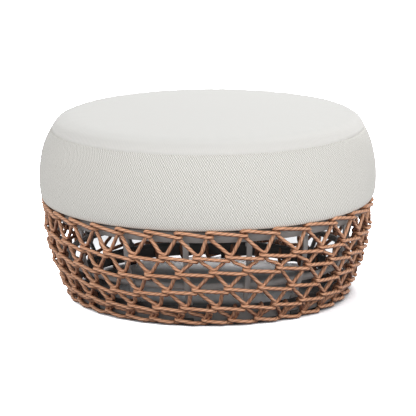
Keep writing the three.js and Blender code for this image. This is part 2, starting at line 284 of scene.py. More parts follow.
def makeStage():
    material, tree = newMaterial("floor_paper", (0.9, 0.9, 0.9))
    output = tree.nodes.new("ShaderNodeOutputMaterial")
    cameraRay = tree.nodes.new("ShaderNodeLightPath").outputs["Is Camera Ray"]
    tone = mixOn(tree, "MIX", cameraRay, (stage["floorTone"],) * 3, shadeOn(tree))
    paper = tree.nodes.new("ShaderNodeBsdfDiffuse")
    tree.links.new(tone, paper.inputs["Color"])
    clear = tree.nodes.new("ShaderNodeBsdfTransparent")
    backfacing = tree.nodes.new("ShaderNodeNewGeometry").outputs["Backfacing"]
    below = mathOn(tree, "MULTIPLY", backfacing, cameraRay)
    blend = tree.nodes.new("ShaderNodeMixShader")
    for socket, value in zip(blend.inputs, (below, paper.outputs[0], clear.outputs[0])):
        tree.links.new(value, socket)
    tree.links.new(blend.outputs[0], output.inputs["Surface"])
    bm = bmesh.new()
    bmesh.ops.create_grid(bm, x_segments=1, y_segments=1, size=stage["floorSize"] / 2)
    mesh = meshFrom(bm, "floor")
    mesh.materials.append(material)
    floor = addObject("floor", mesh)

    world = bpy.data.worlds.new("studio")
    bpy.context.scene.world = world
    world.use_nodes = True
    tree = world.node_tree
    tree.nodes.clear()
    output = tree.nodes.new("ShaderNodeOutputWorld")
    sky = tree.nodes.new("ShaderNodeBackground")
    rays = tree.nodes.new("ShaderNodeLightPath").outputs
    shown = mathOn(tree, "MAXIMUM", rays["Is Camera Ray"], rays["Is Glossy Ray"])
    seen = mathOn(tree, "MAXIMUM", shown, rays["Is Transmission Ray"])
    strength = tree.nodes.new("ShaderNodeMix")
    strength.inputs["A"].default_value = stage["skyLight"]
    strength.inputs["B"].default_value = stage["skyShown"]
    tree.links.new(seen, strength.inputs["Factor"])
    tree.links.new(strength.outputs["Result"], sky.inputs["Strength"])
    tree.links.new(sky.outputs[0], output.inputs["Surface"])
    for lamp in stage["lamps"]:
        data = bpy.data.lights.new(lamp["name"], "AREA")
        data.shape = "DISK"
        data.size = lamp["size"]
        data.energy = lamp["power"]
        light = addObject(lamp["name"], data)
        place = Vector(lamp["place"])
        aim = (Vector(view["target"]) - place).to_track_quat("-Z", "Y")
        light.matrix_world = Matrix.Translation(place) @ aim.to_matrix().to_4x4()
    bpy.context.scene.view_settings.view_transform = "Standard"


# How much a surface faces the middle of the basket, times a strength, kept from 0 to 1: the share of painted
# shade on inward faces
def insideOn(tree, place, strength):
    level = vectorOn(tree, "MULTIPLY", place, (-1 / wallReach, -1 / wallReach, 0))
    normal = tree.nodes.new("ShaderNodeNewGeometry").outputs["Normal"]
    inward = vectorOn(tree, "DOT_PRODUCT", level, normal)
    return mathOn(tree, "MULTIPLY", inward, strength, clamp=True)


# Strand colours. The groove colour, and the darker colour for undersides, inward faces and tucked wraps, are
# painted shade.
strandLook = {
    "tone": (0.5, 0.25, 0.15), "roughness": 0.42, "specular": 0.6,
    "fibreStretch": (900, 900, 110), "patchStretch": (60, 60, 22), "driftScale": 7.0, "patchShare": 0.5,
    "fibres": [(0.25, (0.44, 0.180, 0.086)), (0.5, (0.84, 0.43, 0.24)), (0.75, (1.0, 0.67, 0.445))],
    "patches": [(0.3, (0.62, 0.285, 0.148)), (0.55, (0.86, 0.45, 0.258)), (0.8, (0.98, 0.60, 0.385))],
    "groove": (0.16, 0.07, 0.04), "grooveShare": 0.72, "drift": (0.76, 0.66, 0.60), "driftShare": 0.25,
    "under": (0.13, 0.05, 0.03), "underSlope": -1.25, "underLow": 0.13, "inside": 0.8, "tucked": 0.75,
    "bump": 0.6, "bumpHeight": 0.0004,
}


def strandMaterial():
    look = strandLook
    material, tree, shader = surface("strand_fibre", look)
    space = attributeOn(tree, "strandSpace")["Vector"]
    place = placeOn(tree)
    fibre = noiseOn(tree, space, 1.0, fineDetail, look["fibreStretch"])
    patch = noiseOn(tree, space, stretch=look["patchStretch"])
    fibres = rampOn(tree, fibre, look["fibres"])
    patches = rampOn(tree, patch, look["patches"])
    color = mixOn(tree, "MIX", look["patchShare"], fibres, patches)
    # Painted shade in the grooves between the plies
    groove = mathOn(tree, "MULTIPLY", attributeOn(tree, "groove")["Fac"], look["grooveShare"])
    color = mixOn(tree, "MULTIPLY", groove, color, look["groove"])
    color = tintOn(tree, color, place, look, "drift")
    # Painted shade: darker where it faces down or inwards, or is tucked behind the wall
    facing = partsOn(tree, tree.nodes.new("ShaderNodeNewGeometry").outputs["Normal"])
    down = mathOn(tree, "MULTIPLY_ADD", facing["Z"], look["underSlope"], look["underLow"], clamp=True)
    inside = insideOn(tree, place, look["inside"])
    tuckedShade = mathOn(tree, "MULTIPLY", attributeOn(tree, "tucked")["Fac"], look["tucked"])
    shaded = mathOn(tree, "MAXIMUM", mathOn(tree, "MAXIMUM", down, inside), tuckedShade)
    color = mixOn(tree, "MULTIPLY", shaded, color, look["under"])
    coverWith(tree, shader, color, fibre, look)
    return material


# Powder coat: its cloud changes the tone and the gloss a little. Faces towards the middle of the basket get
# painted shade. The foot's coat is a darker, shaded copy, with more painted shade towards its top.
coatLook = {
    "frame": (0.35, 0.335, 0.33), "foot": (0.2, 0.19, 0.186), "roughness": 0.42, "specular": 0.45,
    "cloudScale": 9.0, "peelScale": 1400.0, "cloudTones": ((0.3, 0.88), (0.7, 1.12)),
    "inside": 0.95, "shade": (0.22, 0.22, 0.22), "footTop": (0.030, 0.037, 0, 1),
    "roughSwing": 0.16, "roughLow": 0.36, "bump": 0.25, "bumpHeight": 0.0002,
}


def metalMaterial(name):
    look = coatLook
    tone = Vector(look[name])
    material, tree, shader = surface(name + "_coat", look, look[name])
    place = placeOn(tree)
    cloud = noiseOn(tree, place, look["cloudScale"], fineDetail)
    peel = noiseOn(tree, place, look["peelScale"])
    color = rampOn(tree, cloud, [(where, tuple(tone * share)) for where, share in look["cloudTones"]])
    # Painted shade on faces towards the middle of the basket, and on the foot towards its top
    shaded = insideOn(tree, place, look["inside"])
    if name == "foot":
        top = leanOn(tree, partsOn(tree, place)["Z"], look["footTop"])
        shaded = mathOn(tree, "MAXIMUM", shaded, top)
    color = mixOn(tree, "MULTIPLY", shaded, color, look["shade"])
    rough = mathOn(tree, "MULTIPLY_ADD", cloud, look["roughSwing"], look["roughLow"])
    tree.links.new(rough, shader.inputs["Roughness"])
    coverWith(tree, shader, color, peel, look)
    return material


# Plain grained surfaces. A scuff changes the tone, or the grain does where there is none.
grainLooks = {
    "glide_moulding": {
        "tone": (0.022, 0.022, 0.021), "roughness": 0.5, "specular": 0.4, "grain": 2200.0, "scuff": 120.0,
        "stops": [(0.35, (0.018, 0.018, 0.017)), (0.75, (0.034, 0.033, 0.032))],
    },
    "zip_cloth": {
        "tone": (0.50, 0.47, 0.42), "roughness": 0.75, "specular": 0.25, "grain": 1300.0, "scuff": 0,
        "stops": [(0.3, (0.44, 0.41, 0.365)), (0.7, (0.56, 0.53, 0.48))],
    },
}
grainRelief = {"bump": 0.3, "bumpHeight": 0.0002}


def grainMaterial(name):
    look = grainLooks[name]
    material, tree, shader = surface(name, look)
    place = placeOn(tree)
    grain = noiseOn(tree, place, look["grain"])
    change = noiseOn(tree, place, look["scuff"], fineDetail) if look["scuff"] else grain
    coverWith(tree, shader, rampOn(tree, change, look["stops"]), grain, grainRelief)
    return material


pullLook = {
    "tone": (0.42, 0.41, 0.40), "roughness": 0.36, "specular": 0.5, "metallic": 1, "wear": 420.0,
    "swing": 0.22, "low": 0.26,
}


def pullMaterial():
    look = pullLook
    material, tree, shader = surface("zip_alloy", look)
    wear = noiseOn(tree, placeOn(tree), look["wear"], fineDetail)
    rough = mathOn(tree, "MULTIPLY_ADD", wear, look["swing"], look["low"])
    tree.links.new(rough, shader.inputs["Roughness"])
    return material


# Cover cloth. Its attribute gives metres along and up the band, or across the crown, where Z is 0.
clothLook = {
    "roughness": 0.88, "specular": 0.2, "sheen": 0.15, "pitch": 0.0056, "rise": 0.0085, "rib": 0.31,
    "cross": 0.18, "drift": 9.0, "driftScale": 70, "light": (0.99, 0.98, 0.945),
    "dark": (0.46, 0.445, 0.405), "crownBelow": 0.001, "crownEven": 0.93, "even": (0.722, 0.72, 0.7),
    "edge": (0.79, 0.78, 0.754), "edgeFrom": 0.342, "edgeTo": 0.367,
    "slub": (0.8, 0.79, 0.77), "slubScale": 260.0, "slubShare": 0.14,
    "cloud": (0.8, 0.79, 0.76), "cloudScale": 5.0, "cloudShare": 0.06, "bump": 0.14, "bumpHeight": 0.0005,
}


def clothMaterial():
    look = clothLook
    material, tree, shader = surface("cover_weave", look, look["even"])
    shader.inputs["Sheen Weight"].default_value = look["sheen"]
    space = attributeOn(tree, "clothSpace")["Vector"]
    parts = partsOn(tree, space)
    across = mathOn(tree, "MULTIPLY", parts["X"], fullTurn / look["pitch"])
    up = mathOn(tree, "MULTIPLY", parts["Y"], fullTurn / look["rise"])
    # Twill: strong ribs that fall to the right, crossed by weak ones, and drifting a little
    drift = mathOn(tree, "MULTIPLY", noiseOn(tree, space, look["driftScale"]), look["drift"])
    across = mathOn(tree, "ADD", across, drift)
    rib = mathOn(tree, "SINE", mathOn(tree, "ADD", across, up))
    crossing = mathOn(tree, "SINE", mathOn(tree, "SUBTRACT", across, up))
    height = mathOn(tree, "MULTIPLY_ADD", rib, look["rib"], 0.5)
    height = mathOn(tree, "ADD", height, mathOn(tree, "MULTIPLY", crossing, look["cross"]))
    color = mixOn(tree, "MIX", height, look["dark"], look["light"])
    # The crown shows less twill, and is lighter towards the seam
    crown = mathOn(tree, "LESS_THAN", parts["Z"], look["crownBelow"])
    even = mathOn(tree, "MULTIPLY", crown, look["crownEven"])
    radius = vectorOn(tree, "LENGTH", space)
    stops = [(look["edgeFrom"], look["even"]), (look["edgeTo"], look["edge"])]
    color = mixOn(tree, "MIX", even, color, rampOn(tree, radius, stops))
    for name, coordinates in (("slub", space), ("cloud", placeOn(tree))):
        color = tintOn(tree, color, coordinates, look, name)
    coverWith(tree, shader, color, height, look)
    return material


def addPiece(mesh, name, material, body, nodes, sharp=None):
    mesh.name = name
    mesh.materials.append(material)
    mesh.shade_smooth()
    if sharp is not None:
        mesh.set_sharp_from_angle(angle=math.radians(sharp))
    piece = addObject(name, mesh)
    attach(piece, body)
    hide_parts(*nodes)
    return piece


# One of the mesh's own attributes, with a value or a vector for each of its points or corners
def setAttribute(mesh, name, domain, values):
    kind, key = ("FLOAT_VECTOR", "vector") if values.ndim == 2 else ("FLOAT", "value")
    mesh.attributes.new(name, kind, domain).data.foreach_set(key, values.astype(np.float32).ravel())


def roundEdges(bm, edges, width, parts):
    bmesh.ops.bevel(
        bm, geom=edges, offset=width * mm, segments=parts, profile=0.5, affect="EDGES", material=-1)


def turnAbout(bm, points, angle):
    bmesh.ops.rotate(bm, verts=points, cent=(0, 0, 0), matrix=Matrix.Rotation(angle, 3, "Z"))


def meshFrom(bm, name):
    mesh = bpy.data.meshes.new(name)
    bm.to_mesh(mesh)
    bm.free()
    return mesh


# Twisted strand, laced round the frame, in mm. Tables give places at a knot: along, in, up.
wall = {"topRadius": 399.5, "topHeight": 235, "inset": 62, "curve": 2.15}
strand = {
    "radius": 4.6, "plies": 3, "plyDepth": 0.12, "sides": 18, "step": 2.4, "fineStep": 2, "twistLength": 48,
    "knots": 32, "jitterTurn": 0.35, "jitterUp": 1.1, "topJitter": 0.4, "tuckFrom": 8.5, "tuckReach": 6,
    "wobble": 0.8, "wobblePitch": 34, "unevenTwist": 1.5, "twistPitch": 45, "swell": 0.06, "swellPitch": 16,
    "seed": 7, "railSeed": 1, "laceSeed": 11, "seedShift": (13.7, 5.1, 0), "floorGap": 0.5,
}
# The lowest rail runs level between its knots, well clear of the floor
levelRun = {"turn": 0.03, "fall": 1, "floorGap": 1.5}
railKnot = [
    (-4, 0.2, -3.8), (-0.5, 0.8, -4.2), (2.2, 4.0, -5.4), (3.0, 9.2, -6.2), (3.2, 14.8, -4.2),
    (2.8, 18.0, 0.6), (1.6, 15.4, 6.0), (-0.2, 9.6, 7.6), (-1.9, 4.6, 6.6), (-1.4, 1.4, 4.8),
    (2.2, 0.4, 4.1), (6, 0.1, 3.8),
]
topKnot = [
    (-4, 0.2, -5.2), (2.2, 0.8, -6.0), (5.8, 4.2, -6.8), (6.8, 9.4, -6.0), (6.2, 14.6, -3.6),
    (3.4, 17.6, -1.0), (-0.8, 16.4, 0.8), (-4.0, 11.4, 1.4), (-5.0, 6.2, 2.0), (-4.4, 2.6, 3.8),
    (-2.2, 0.8, 5.2), (2.4, 0.2, 5.0),
]
baseKnot = [
    (-9, 8.2, -2.6), (-3, 9.4, -3.6), (2, 13.0, -4.6), (5.6, 21.0, -4.6), (8.4, 27.2, 2.5), (9.2, 28.6, 14),
    (9.2, 28.6, 27), (8.8, 26.2, 36.5), (8.2, 20.5, 40.6), (7.6, 13.6, 37), (6.8, 11.2, 27), (4.6, 11.0, 17),
    (0.5, 12.0, 10.2), (-3.4, 10.5, 7.2), (-4.4, 6.6, 5.0), (-1.6, 4.6, 3.8), (4, 4.6, 3.2),
]
peakShape = {
    "top": [(-7.4, 8.0, -15), (-4.2, 9.0, -9), (-1.4, 9.4, -5.2), (1.6, 9.0, -9), (7, 8.0, -15)],
    "rail": [
        (-9, 8.6, -10), (-4.8, 9.4, -4), (0.2, 9.8, -0.4), (6, 9.8, 0.2), (10.6, 9.4, -3.6), (16.5, 8.6, -10),
    ],
}
valleyShape = [(-4, 5.0, 15.8), (1, 5.8, 11.2), (6, 7.6, 9.2), (10.6, 9.2, 10.2), (14.4, 9.4, 15)]
baseValley = [(-6, 12.6, 15), (-1, 12.4, 9.0), (4, 12.2, 7.6), (9, 12.2, 10), (13, 12.0, 17)]
# How far the knots of each row are turned from their even places, in degrees and in waves round the basket
wander = {
    "turns": 3, "lead": [1.4, 1.5, 1.5, 1.2, 0.5], "swing": [1.5, 0.9, 0.9, 1.6, 1.1],
    "phase": [20, 8, 5, 8, 14], "baseLead": 1.2, "baseSwing": 3.5,
}
# Rows hang lower here and there: angle and width in degrees, then the drop of each row in mm
sags = [
    (-30, 24, [1, 7, 15, 16, 5, 0]), (20, 13, [-2, 0, -4, -1, -1, 0]), (48, 17, [-2, 2, 2, 6, 3, 5]),
    (100, 26, [1, 6, 9, 5, 3, 2]), (155, 22, [-1, 2, -3, 4, 2, 0]), (-150, 25, [0, 5, 10, 12, 4, 1]),
    (-95, 24, [0, -2, 3, -2, 2, 0]),
]
rowDrop = [0, 3, 0.5, 4, 3, 0]


def wallRadius(height):
    below = max(1 - height / wall["topHeight"], 0)
    return wall["topRadius"] - wall["inset"] * below ** wall["curve"]


railNodes = ["rail_strand_%d" % (row + 1) for row in range(6)]
laceNodes = ["lace_strand_%d" % (row + 1) for row in range(5)]
railHeights = [middleOf(node).z / mm for node in railNodes]
lastRow = len(railHeights) - 1


def sagAt(row, angle):
    drop = rowDrop[row]
    for middle, width, depths in sags:
        away = (math.degrees(angle) - middle + 180) % 360 - 180
        drop += depths[row] * math.exp(-(away / width) ** 2)
    return drop


# Hand lacing: knots wander a little from their even places
def makeKnots():
    draw = random.Random(strand["seed"])
    rows = []
    for row in range(lastRow + 1):
        places = []
        for knot in range(strand["knots"] + 1):
            angle = math.pi + fullTurn * (knot + (row % 2) / 2) / strand["knots"]
            if row == lastRow:
                shift = wander["baseLead"] - wander["baseSwing"] * math.sin(angle)
            else:
                wave = math.cos(wander["turns"] * (angle - math.radians(wander["phase"][row])))
                shift = -wander["lead"][row] - wander["swing"][row] * wave
            jitter = draw.uniform(-1, 1) * strand["jitterTurn"]
            angle += math.radians(shift + jitter)
            jitter = draw.uniform(-1, 1) * strand["jitterUp"] * (strand["topJitter"] if row == 0 else 1)
            places.append((angle, jitter - sagAt(row, angle)))
        places[-1] = (places[0][0] + fullTurn, places[0][1])
        rows.append(places)
    return rows


def knotPoints(table, row, knot, knots):
    angle, lift = knots[row][knot]
    points = []
    for along, inward, up in table:
        height = max(railHeights[row] + up + lift, strand["radius"] + strand["floorGap"])
        radius = wallRadius(max(height, 0)) - strand["radius"] - inward
        points.append(onCircle(radius, angle + along / radius, height))
    return points


def railLine(row, knots):
    table = topKnot if row == 0 else baseKnot if row == lastRow else railKnot
    points = []
    for knot in range(strand["knots"]):
        here = knotPoints(table, row, knot, knots)
        after = knotPoints(table, row, knot + 1, knots)
        points += here
        if row == lastRow:
            middle = (knots[row][knot][0] + knots[row][knot + 1][0]) / 2
            radius = wallRadius(railHeights[row]) - strand["radius"]
            height = max(railHeights[row] - sagAt(row, middle), strand["radius"] + levelRun["floorGap"])
            for turn, rise in ((-levelRun["turn"], levelRun["fall"]), (levelRun["turn"], -levelRun["fall"])):
                points.append(onCircle(radius, middle + turn, height + rise))
        else:
            points += [here[-1].lerp(after[0], share) for share in (0.25, 0.5, 0.75)]
    return points


def laceLine(row, knots):
    peak = peakShape["top" if row == 0 else "rail"]
    valley = baseValley if row + 1 == lastRow else valleyShape
    points = []
    for knot in range(strand["knots"]):
        points += knotPoints(peak, row, knot, knots)
        foot = knotPoints(valley, row + 1, (knot + row % 2) % strand["knots"], knots)
        points.append(points[-1].lerp(foot[0], 0.5))
        points += foot
        after = knotPoints(peak, row, (knot + 1) % strand["knots"], knots)
        points.append(foot[-1].lerp(after[0], 0.5))
    return points


# One point of a centripetal curve through four points, between the middle two
def curvePoint(four, share):
    knots = [0.0]
    for start, end in zip(four, four[1:]):
        knots.append(knots[-1] + max((end - start).length, 1e-6) ** 0.5)
    t = knots[1] + (knots[2] - knots[1]) * share

    def between(first, second, low, high):
        return first * ((high - t) / (high - low)) + second * ((t - low) / (high - low))

    a = [between(four[i], four[i + 1], knots[i], knots[i + 1]) for i in range(3)]
    b = [between(a[i], a[i + 1], knots[i], knots[i + 2]) for i in range(2)]
    return between(b[0], b[1], knots[1], knots[2])


# Length of a line from its start to each of its points
def lengthsAlong(points):
    lengths = [0.0]
    for start, end in zip(points, points[1:]):
        lengths.append(lengths[-1] + (end - start).length)
    return lengths


# Even steps along the smooth closed line through the points
def evenLine(points, step):
    count = len(points)
    fine = []
    for i in range(count):
        four = [points[(i + j - 1) % count] for j in range(4)]
        parts = max(2, math.ceil((four[2] - four[1]).length / strand["fineStep"]))
        fine += [curvePoint(four, part / parts) for part in range(parts)]
    fine.append(fine[0])
    lengths = lengthsAlong(fine)
    total = lengths[-1]
    places = np.linspace(0, total, round(total / step), endpoint=False)
    closed = np.array([tuple(point) for point in fine])
    columns = [np.interp(places, lengths, closed[:, axis]) for axis in range(3)]
    return np.stack(columns, 1), total


def strandProfile():
    curve = bpy.data.curves.new("strand_profile", "CURVE")
    curve.dimensions = "2D"
    spline = curve.splines.new("POLY")
    spline.points.add(strand["sides"] - 1)
    for side, point in enumerate(spline.points):
        angle = fullTurn * side / strand["sides"]
        share = 1 - strand["plyDepth"] * (1 - abs(math.cos(strand["plies"] * angle / 2)))
        reach = strand["radius"] * mm * share
        point.co = (reach * math.cos(angle), reach * math.sin(angle), 0, 1)
    spline.use_cyclic_u = True
    return addObject("strand_profile", curve)


def strandPiece(name, points, profile, material, seed):
    line, total = evenLine(points, strand["step"])
    count = len(line)
    turns = round(total / strand["twistLength"])
    curve = bpy.data.curves.new(name, "CURVE")
    curve.dimensions = "3D"
    curve.bevel_mode = "OBJECT"
    curve.bevel_object = profile
    spline = curve.splines.new("POLY")
    spline.points.add(count - 1)
    shake = Vector([seed * part for part in strand["seedShift"]])
    for i, point in enumerate(spline.points):
        place = Vector(line[i])
        place += noise.noise_vector(place / strand["wobblePitch"] + shake) * strand["wobble"]
        point.co = (*(place * mm), 1)
        sway = strand["unevenTwist"] * noise.noise(place / strand["twistPitch"] - shake)
        point.tilt = (sway - fullTurn * turns * i / count) % fullTurn
        point.radius = 1 + strand["swell"] * noise.noise(place / strand["swellPitch"] + shake)
    spline.use_cyclic_u = True
    mesh = bakedMesh(addObject(name + "_line", curve))
    # The mesh has one ring of points for each step of the line
    sides = strand["sides"]
    around = np.tile(np.arange(sides) * fullTurn / sides, count)
    along = np.repeat(np.arange(count), sides) * (total / count)
    reach = strand["radius"] * mm
    space = np.stack([reach * np.cos(around), reach * np.sin(around), along * mm + seed], 1)
    setAttribute(mesh, "strandSpace", "POINT", space)
    # The groove mask sets painted shade in the grooves between the plies
    setAttribute(mesh, "groove", "POINT", (1 - np.abs(np.cos(strand["plies"] * around / 2))) ** 2)
    # How far each step lies inside the wall; deep ones, the tucked wraps, get painted shade
    inward = [wallRadius(max(z, 0)) - strand["radius"] - math.hypot(x, y) for x, y, z in line]
    tucked = np.clip((np.repeat(inward, sides) - strand["tuckFrom"]) / strand["tuckReach"], 0, 1)
    setAttribute(mesh, "tucked", "POINT", tucked)
    addPiece(mesh, name, material, "basket", [name])


def makeWeave():
    noise.seed_set(strand["seed"])
    knots = makeKnots()
    profile = strandProfile()
    material = strandMaterial()
    for row, name in enumerate(railNodes):
        strandPiece(name, railLine(row, knots), profile, material, strand["railSeed"] + row)
    for row, name in enumerate(laceNodes):
        strandPiece(name, laceLine(row, knots), profile, material, strand["laceSeed"] + row)
    bpy.data.objects.remove(profile)
    print("weave done")


# Frame: rings, ribs, deck and glides. Sizes in mm.
ring = {
    "steps": 192, "wall": 6, "round": 1.6, "roundParts": 3, "bulge": 3.4, "footLean": 1, "topLean": 0.6,
    "trim": 0.5, "topTrim": 9, "ledgeDrop": 3, "ledgeWidth": 28, "ledgeThick": 5, "hoopWire": 15,
    "hoopSides": 20, "sharp": 50,
}
bar = {"count": 16, "width": 13, "thick": 5, "round": 1.3, "roundParts": 3, "cuts": 26, "curveOrder": 4}
weld = {
    "length": 5.6, "radius": 2.1, "sides": 10, "levels": 6, "fromBottom": 5, "fromTop": 6, "inward": 0.5,
    "hoopGap": 5.5, "hoopInward": 1,
}
softEdge = {"slat": 1.8, "bearer": 2.4, "glide": 0.8, "parts": 3, "merge": 0.01, "flat": 1, "from": 30}
barSharp = 40


# Points of an outline of (radius, height) in mm, and the edges that join them
def outlineIn(bm, outline, closed=True):
    points = [bm.verts.new((radius * mm, 0, height * mm)) for radius, height in outline]
    ends = points[1:] + points[:1] if closed else points[1:]
    return points, [bm.edges.new(pair) for pair in zip(points, ends)]


def spinRound(bm, parts, angle, steps):
    bmesh.ops.spin(
        bm, geom=parts, cent=(0, 0, 0), axis=(0, 0, 1), angle=angle, steps=steps, use_merge=angle == fullTurn)


def roundedCorners(corners):
    profile = []
    for i, corner in enumerate(corners):
        here = Vector(corner)
        before = (Vector(corners[i - 1]) - here).normalized() * ring["round"]
        after = (Vector(corners[(i + 1) % len(corners)]) - here).normalized() * ring["round"]
        for part in range(ring["roundParts"] + 1):
            share = part / ring["roundParts"]
            first = (here + before).lerp(here, share)
            second = here.lerp(here + after, share)
            profile.append(tuple(first.lerp(second, share)))
    return profile


def addRing(node, name, section, coat, sharp=None):
    bm = bmesh.new()
    points, edges = outlineIn(bm, section)
    spinRound(bm, points + edges, fullTurn, ring["steps"])
    bmesh.ops.recalc_face_normals(bm, faces=bm.faces)
    addPiece(meshFrom(bm, node), name, coat, "basket", [node], sharp)


def makeRings(coat, shadedFootCoat):
    low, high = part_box("top_ring")
    outer, bottom, top = high.x / mm, low.z / mm + ring["trim"], high.z / mm - ring["topTrim"]
    inner = outer - ring["wall"]
    seat = middleOf("slat_4").z / mm - ring["ledgeDrop"]
    ledge = (inner - ring["ledgeWidth"], seat - ring["ledgeThick"])
    section = roundedCorners([
        (outer - ring["footLean"], bottom), (outer + ring["bulge"], (bottom + top) / 2),
        (outer - ring["topLean"], top), (inner, top), (inner, seat), (ledge[0], seat), ledge,
        (inner, ledge[1]), (inner, bottom),
    ])
    addRing("top_ring", "seat_ring", section, coat, ring["sharp"])

    wire = ring["hoopWire"] / 2
    height, reach = middleOf("hoop_ring").z / mm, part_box("hoop_ring")[1].x / mm - wire
    section = []
    for side in range(ring["hoopSides"]):
        angle = fullTurn * side / ring["hoopSides"]
        section.append((reach + wire * math.cos(angle), height + wire * math.sin(angle)))
    addRing("hoop_ring", "middle_hoop", section, coat)

    low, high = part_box("base_ring")
    outer, bottom, top = high.x / mm, low.z / mm, high.z / mm
    inner = outer - ring["wall"]
    section = roundedCorners([(outer, bottom), (outer, top), (inner, top), (inner, bottom)])
    addRing("base_ring", "foot_ring", section, shadedFootCoat, ring["sharp"])


# Outer face of the rib that stands at -Y, in mm: its ends, and its radius as a curve of the height
def ribCurve():
    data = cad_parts["rib_01"].data
    reach = {}
    for vertex in data.vertices:
        height = round(vertex.co.z / mm, 1)
        reach[height] = max(reach.get(height, 0), -vertex.co.y / mm)
    heights = sorted(reach)
    fit = np.polyfit(heights, [reach[height] for height in heights], bar["curveOrder"])
    return heights[0], heights[-1], fit


def makeRibs(coat):
    bottom, top, fit = ribCurve()
    hoopHeight = middleOf("hoop_ring").z / mm
    long = weld["length"] / weld["radius"]
    half = bar["thick"] / 2
    for number in range(bar["count"]):
        name = "rib_%02d" % (number + 1)
        bm = bmesh.new()
        bmesh.ops.create_cube(bm, size=1)
        bmesh.ops.scale(bm, verts=bm.verts, vec=(bar["width"] * mm, bar["thick"] * mm, (top - bottom) * mm))
        roundEdges(bm, bm.edges[:], bar["round"], bar["roundParts"])
        upright = [edge for edge in bm.edges if abs(edge.verts[0].co.z - edge.verts[1].co.z) > top / 2 * mm]
        bmesh.ops.subdivide_edges(bm, edges=upright, cuts=bar["cuts"], use_grid_fill=True)
        bmesh.ops.translate(bm, verts=bm.verts, vec=(0, 0, (top + bottom) / 2 * mm))
        # Weld beads: upright ones beside the rib at its ends, level ones above and below the hoop
        for height in (bottom + weld["fromBottom"], hoopHeight, top - weld["fromTop"]):
            for side in (-1, 1):
                stretch = (1, 1, long)
                shift = (side * bar["width"] / 2, weld["inward"] + half, height)
                if height == hoopHeight:
                    stretch = (long, 1, 1)
                    shift = (0, half + weld["hoopInward"], height + side * weld["hoopGap"])
                ball = bmesh.ops.create_uvsphere(
                    bm, u_segments=weld["sides"], v_segments=weld["levels"], radius=weld["radius"] * mm)
                bead = ball["verts"]
                bmesh.ops.scale(bm, verts=bead, vec=stretch)
                bmesh.ops.translate(bm, verts=bead, vec=Vector(shift) * mm)
        for vertex in bm.verts:
            vertex.co.y -= (np.polyval(fit, vertex.co.z / mm) - half) * mm
        turnAbout(bm, bm.verts, fullTurn * number / bar["count"])
        upName = "upright_%02d" % (number + 1)
        addPiece(meshFrom(bm, name), upName, coat, "basket", [name], barSharp)


# The CAD solid with its flat faces joined and its edges rounded
def softPiece(node, width, name, material):
    bm = bmesh.new()
    bm.from_mesh(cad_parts[node].data)
    bmesh.ops.remove_doubles(bm, verts=bm.verts, dist=softEdge["merge"] * mm)
    bmesh.ops.dissolve_limit(
        bm, angle_limit=math.radians(softEdge["flat"]), verts=bm.verts, edges=bm.edges)
    least = math.radians(softEdge["from"])
    edges = [edge for edge in bm.edges if edge.is_manifold and edge.calc_face_angle() > least]
    roundEdges(bm, edges, width, softEdge["parts"])
    addPiece(meshFrom(bm, node), name, material, "basket", [node], barSharp)


def makeDeck(coat):
    for node in ["slat_%d" % (number + 1) for number in range(7)] + ["bearer_left", "bearer_right"]:
        softPiece(node, softEdge[node.split("_")[0]], "deck_" + node, coat)


def makeGlides(plastic):
    for node in ["glide_%d" % (number + 1) for number in range(8)]:
        softPiece(node, softEdge["glide"], "foot_" + node, plastic)


# Distance from the upright axis through the middle, and angle about it
def polar(places):
    return np.hypot(places[:, 0], places[:, 1]), np.arctan2(places[:, 0], -places[:, 1])


# Cushion: outline from the middle of its base to the middle of its crown, (radius, height) in mm
cushion = {
    "base": [(0, 237.3), (180, 237.3), (340, 237.3), (370, 237.2), (379, 236.3), (386.5, 234.7)],
    "band": [
        (391.6, 235.8), (395.6, 239.6), (399.4, 248), (401.8, 261), (402.8, 281), (402.2, 304), (399.8, 327),
        (395.9, 348), (391, 366), (382.4, 387),
    ],
    "seam": (372.6, 404),
    "crown": [
        (367.4, 413.5), (358.5, 425), (337, 435.4), (294, 440.6), (240, 443), (180, 445.3), (110, 447.2),
        (0, 448),
    ],
    "parts": 24, "steps": 320, "merge": 0.02, "seamDepth": 1.7, "seamWidth": 2.1, "lip": 0.6,
    "lipPlace": 5.5, "lipWidth": 2.6, "lean": 1.6, "leanFrom": 350, "leanReach": 60,
    "pucker": 0.9, "puckerGain": 1.4, "puckerLeast": 0.02, "puckerReach": 20, "puckerPitch": 26,
    "puckerStretch": 0.02, "unevenness": 1.3, "unevenPitch": 150, "unevenShift": 3.1, "unevenFrom": 240,
    "unevenReach": 30, "bandInner": 350, "bandReach": 400, "bandMark": 7,
}
# Places of the rings of points along the outline: close ones beside the seam, then even steps away from it
rings = {
    "close": [0, 0.8, 1.6, 2.4, 3.4, 4.6, 6, 7.6, 9.6, 12, 15, 19, 24], "closeReach": 30, "endRoom": 4,
    "sideFrom": 380, "sideStep": 6, "baseStep": 16, "shoulder": 120, "shoulderStep": 7, "crownStep": 14,
}
# The cloth is pulled in, blown up again by the filling, and its push is read from the nearest points
filling = {
    "shrink": 4, "voxel": 8, "pressure": 4, "frames": 20, "cap": 24, "fullness": 5, "hold": 8, "most": 4,
    "mass": 0.25, "stiffness": 12, "quality": 6, "usual": 90, "near": 6, "blend": 0.002,
}


def coverLine():
    control = cushion["base"] + cushion["band"] + [cushion["seam"]] + cushion["crown"]
    points = [Vector((radius, height, 0)) for radius, height in control]
    points = [2 * points[0] - points[1]] + points + [Vector((-points[-2].x, points[-2].y, 0))]
    fine = []
    for i in range(1, len(points) - 2):
        fine += [curvePoint(points[i - 1:i + 3], part / cushion["parts"]) for part in range(cushion["parts"])]
    fine.append(points[-2])
    lengths = lengthsAlong(fine)
    seam = Vector((*cushion["seam"], 0))
    seamAt = min(range(len(fine)), key=lambda i: (fine[i] - seam).length)
    return np.array([tuple(point)[:2] for point in fine]), np.array(lengths), lengths[seamAt]


